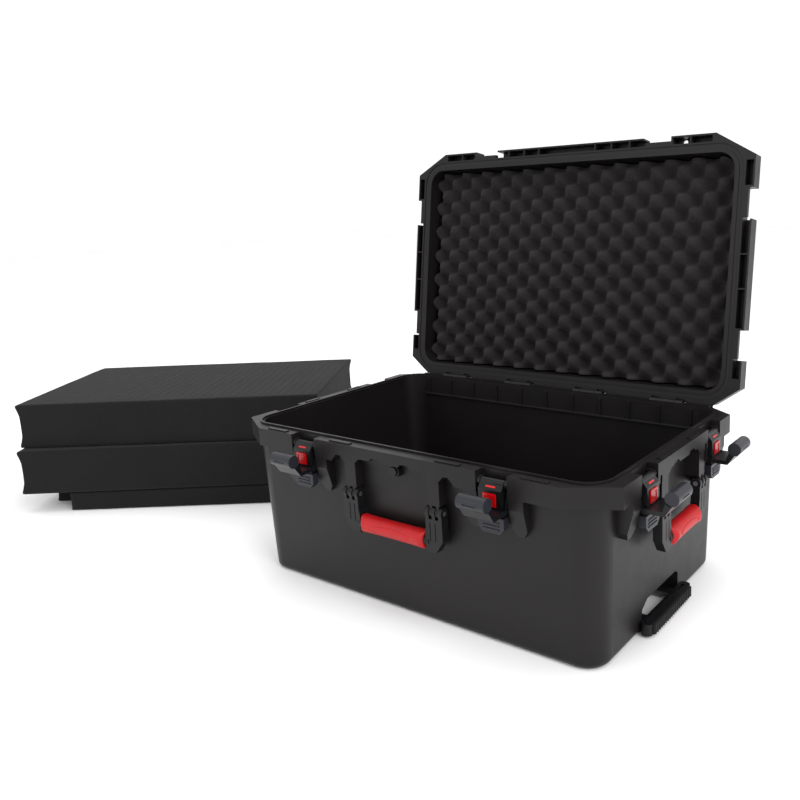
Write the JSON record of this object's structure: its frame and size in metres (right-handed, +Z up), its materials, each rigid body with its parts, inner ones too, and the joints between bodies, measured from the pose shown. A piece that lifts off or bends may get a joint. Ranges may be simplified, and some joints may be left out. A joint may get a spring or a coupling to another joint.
{
  "type": "hard equipment case",
  "caption": "Wheeled hard-shell equipment case, lid open, with draw latches, folding carrying handles, slide-out pull handle and lift-out foam layers.",
  "frame": {"origin": "centre of the case's flat bottom, on the floor", "axes": "+X towards the pull handle end, -Y towards the front with the valve, +Z up"},
  "size_m": [1.3736, 0.5934, 0.5991],
  "materials": {
    "shell": "satin, fine moulded texture",
    "shell_dark": "satin",
    "steel": "bright turned",
    "gasket": "matt",
    "foam": "open-cell foam, matt",
    "frame": "satin",
    "red_grip": "soft satin",
    "latch_black": "satin",
    "red_button": "gloss",
    "latch_grey": "satin",
    "tube": "black anodised",
    "tyre": "matt",
    "hub": "satin"
  },
  "bodies": {
    "base": {"base_shell": "shell", "pressure_valve": "shell_dark", "hinge_pin": "steel", "handle_pins": "steel", "latch_pins": "steel", "wheel_axles": "steel"},
    "lid": {"lid_shell": "shell", "lid_gasket": "gasket", "lid_foam": "foam"},
    "handle_front": {"handle_frame_front": "frame", "handle_grip_front": "red_grip"},
    "handle_right": {"handle_frame_right": "frame", "handle_grip_right": "red_grip"},
    "handle_left": {"handle_frame_left": "frame", "handle_grip_left": "red_grip"},
    "lever_front_right": {"latch_lever_front_right": "latch_black", "latch_tab_front_right": "latch_grey"},
    "button_front_right": {"latch_button_front_right": "red_button"},
    "claw_front_right": {"latch_claw_front_right": "latch_black", "latch_bar_front_right": "latch_grey"},
    "lever_front_left": {"latch_lever_front_left": "latch_black", "latch_tab_front_left": "latch_grey"},
    "button_front_left": {"latch_button_front_left": "red_button"},
    "claw_front_left": {"latch_claw_front_left": "latch_black", "latch_bar_front_left": "latch_grey"},
    "lever_right_front": {"latch_lever_right_front": "latch_black", "latch_tab_right_front": "latch_grey"},
    "button_right_front": {"latch_button_right_front": "red_button"},
    "claw_right_front": {"latch_claw_right_front": "latch_black", "latch_bar_right_front": "latch_grey"},
    "lever_right_back": {"latch_lever_right_back": "latch_black", "latch_tab_right_back": "latch_grey"},
    "button_right_back": {"latch_button_right_back": "red_button"},
    "claw_right_back": {"latch_claw_right_back": "latch_black", "latch_bar_right_back": "latch_grey"},
    "lever_left_front": {"latch_lever_left_front": "latch_black", "latch_tab_left_front": "latch_grey"},
    "button_left_front": {"latch_button_left_front": "red_button"},
    "claw_left_front": {"latch_claw_left_front": "latch_black", "latch_bar_left_front": "latch_grey"},
    "lever_left_back": {"latch_lever_left_back": "latch_black", "latch_tab_left_back": "latch_grey"},
    "button_left_back": {"latch_button_left_back": "red_button"},
    "claw_left_back": {"latch_claw_left_back": "latch_black", "latch_bar_left_back": "latch_grey"},
    "pull": {"pull_tubes": "tube", "pull_grip": "frame", "pull_grip_pad": "gasket"},
    "wheel_front": {"wheel_tyre_front": "tyre", "wheel_hub_front": "hub"},
    "wheel_back": {"wheel_tyre_back": "tyre", "wheel_hub_back": "hub"},
    "foam_pad": {"foam_base_pad": "foam"},
    "foam_mid": {"foam_middle": "foam"},
    "foam_upper": {"foam_top": "foam"}
  },
  "joints": [
    {"name": "lid_hinge", "type": "hinge", "parent": "base", "child": "lid", "pos_m": [0, 0.194, 0.2184], "axis": [-1, 0, 0], "range_deg": [-98.5, 0]},
    {"name": "handle_front_turn", "type": "hinge", "parent": "base", "child": "handle_front", "pos_m": [0, -0.1875, 0.157], "axis": [-1, 0, 0], "range_deg": [0, 90]},
    {"name": "handle_right_turn", "type": "hinge", "parent": "base", "child": "handle_right", "pos_m": [0.296, 0.0057, 0.157], "axis": [0, -1, 0], "range_deg": [0, 90]},
    {"name": "handle_left_turn", "type": "hinge", "parent": "base", "child": "handle_left", "pos_m": [-0.296, 0.0057, 0.157], "axis": [0, 1, 0], "range_deg": [0, 90]},
    {"name": "lever_front_right_turn", "type": "hinge", "parent": "base", "child": "lever_front_right", "pos_m": [0.1535, -0.1855, 0.209], "axis": [-1, 0, 0], "range_deg": [0, 70]},
    {"name": "claw_front_right_turn", "type": "hinge", "parent": "lever_front_right", "child": "claw_front_right", "pos_m": [0.1535, -0.183, 0.197], "axis": [1, 0, 0], "range_deg": [-90, 0]},
    {"name": "button_front_right_push", "type": "slide", "parent": "lever_front_right", "child": "button_front_right", "axis": [0, 1, 0], "range_m": [0, 0.0018], "stiffness_N_per_m": 600, "springref_m": -0.0005},
    {"name": "lever_front_left_turn", "type": "hinge", "parent": "base", "child": "lever_front_left", "pos_m": [-0.1535, -0.1855, 0.209], "axis": [-1, 0, 0], "range_deg": [0, 70]},
    {"name": "claw_front_left_turn", "type": "hinge", "parent": "lever_front_left", "child": "claw_front_left", "pos_m": [-0.1535, -0.183, 0.197], "axis": [1, 0, 0], "range_deg": [-90, 0]},
    {"name": "button_front_left_push", "type": "slide", "parent": "lever_front_left", "child": "button_front_left", "axis": [0, 1, 0], "range_m": [0, 0.0018], "stiffness_N_per_m": 600, "springref_m": -0.0005},
    {"name": "lever_right_front_turn", "type": "hinge", "parent": "base", "child": "lever_right_front", "pos_m": [0.294, -0.0928, 0.209], "axis": [0, -1, 0], "range_deg": [0, 70]},
    {"name": "claw_right_front_turn", "type": "hinge", "parent": "lever_right_front", "child": "claw_right_front", "pos_m": [0.2915, -0.0928, 0.197], "axis": [0, 1, 0], "range_deg": [-90, 0]},
    {"name": "button_right_front_push", "type": "slide", "parent": "lever_right_front", "child": "button_right_front", "axis": [-1, 0, 0], "range_m": [0, 0.0018], "stiffness_N_per_m": 600, "springref_m": -0.0005},
    {"name": "lever_right_back_turn", "type": "hinge", "parent": "base", "child": "lever_right_back", "pos_m": [0.294, 0.1042, 0.209], "axis": [0, -1, 0], "range_deg": [0, 70]},
    {"name": "claw_right_back_turn", "type": "hinge", "parent": "lever_right_back", "child": "claw_right_back", "pos_m": [0.2915, 0.1042, 0.197], "axis": [0, 1, 0], "range_deg": [-90, 0]},
    {"name": "button_right_back_push", "type": "slide", "parent": "lever_right_back", "child": "button_right_back", "axis": [-1, 0, 0], "range_m": [0, 0.0018], "stiffness_N_per_m": 600, "springref_m": -0.0005},
    {"name": "lever_left_front_turn", "type": "hinge", "parent": "base", "child": "lever_left_front", "pos_m": [-0.294, -0.0928, 0.209], "axis": [0, 1, 0], "range_deg": [0, 70]},
    {"name": "claw_left_front_turn", "type": "hinge", "parent": "lever_left_front", "child": "claw_left_front", "pos_m": [-0.2915, -0.0928, 0.197], "axis": [0, -1, 0], "range_deg": [-90, 0]},
    {"name": "button_left_front_push", "type": "slide", "parent": "lever_left_front", "child": "button_left_front", "axis": [1, 0, 0], "range_m": [0, 0.0018], "stiffness_N_per_m": 600, "springref_m": -0.0005},
    {"name": "lever_left_back_turn", "type": "hinge", "parent": "base", "child": "lever_left_back", "pos_m": [-0.294, 0.1042, 0.209], "axis": [0, 1, 0], "range_deg": [0, 70]},
    {"name": "claw_left_back_turn", "type": "hinge", "parent": "lever_left_back", "child": "claw_left_back", "pos_m": [-0.2915, 0.1042, 0.197], "axis": [0, -1, 0], "range_deg": [-90, 0]},
    {"name": "button_left_back_push", "type": "slide", "parent": "lever_left_back", "child": "button_left_back", "axis": [1, 0, 0], "range_m": [0, 0.0018], "stiffness_N_per_m": 600, "springref_m": -0.0005},
    {"name": "pull_slide", "type": "slide", "parent": "base", "child": "pull", "axis": [1, 0, 0], "range_m": [0, 0.35]},
    {"name": "wheel_front_spin", "type": "hinge", "parent": "base", "child": "wheel_front", "pos_m": [-0.2585, -0.134, 0.0275], "axis": [0, 1, 0], "continuous": true},
    {"name": "wheel_back_spin", "type": "hinge", "parent": "base", "child": "wheel_back", "pos_m": [-0.2585, 0.134, 0.0275], "axis": [0, 1, 0], "continuous": true},
    {"name": "foam_pad_lift", "type": "slide", "parent": "base", "child": "foam_pad", "axis": [0, 0, 1], "range_m": [0, 0.25]},
    {"name": "foam_middle_lift", "type": "slide", "parent": "foam_pad", "child": "foam_mid", "axis": [0, 0, 1], "range_m": [0, 0.25]},
    {"name": "foam_top_lift", "type": "slide", "parent": "foam_mid", "child": "foam_upper", "axis": [0, 0, 1], "range_m": [0, 0.25]}
  ]
}
